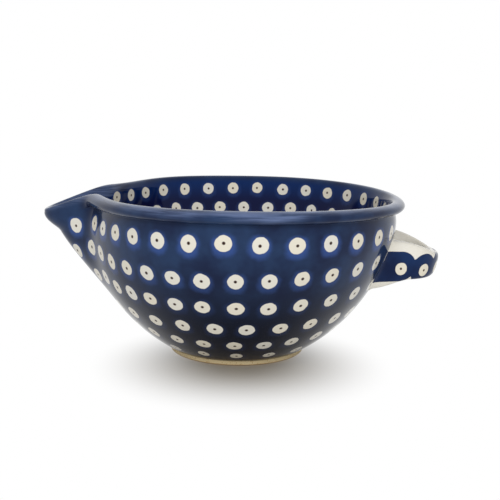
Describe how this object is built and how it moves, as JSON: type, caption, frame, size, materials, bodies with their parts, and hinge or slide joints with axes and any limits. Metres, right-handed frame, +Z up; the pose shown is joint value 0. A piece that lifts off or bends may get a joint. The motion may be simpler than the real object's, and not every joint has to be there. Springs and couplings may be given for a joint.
{
  "type": "handled pouring bowl",
  "caption": "Round stoneware mixing bowl with a rolled rim, a pulled pouring spout, a short loop handle opposite it and a low foot ring.",
  "frame": {"origin": "on the table, under the middle of the bowl's outline from spout tip to handle", "axes": "+X towards the handle, -X towards the spout, +Z up out of the bowl's mouth"},
  "size_m": [0.2408, 0.2, 0.0983],
  "materials": {
    "navy_glaze": "glossy navy glaze stamped with rows of cream dots",
    "cream_glaze": "glossy clear glaze over cream clay, with a navy scalloped band",
    "biscuit_clay": "bare fired clay, matt"
  },
  "bodies": {
    "root": {"foot_ring": "biscuit_clay", "bowl_body": "navy_glaze", "rim_bead": "navy_glaze", "spout_beak": "navy_glaze", "spout_lip": "navy_glaze", "handle_strap": "cream_glaze", "handle_root_front": "cream_glaze", "handle_root_back": "cream_glaze"}
  },
  "joints": []
}
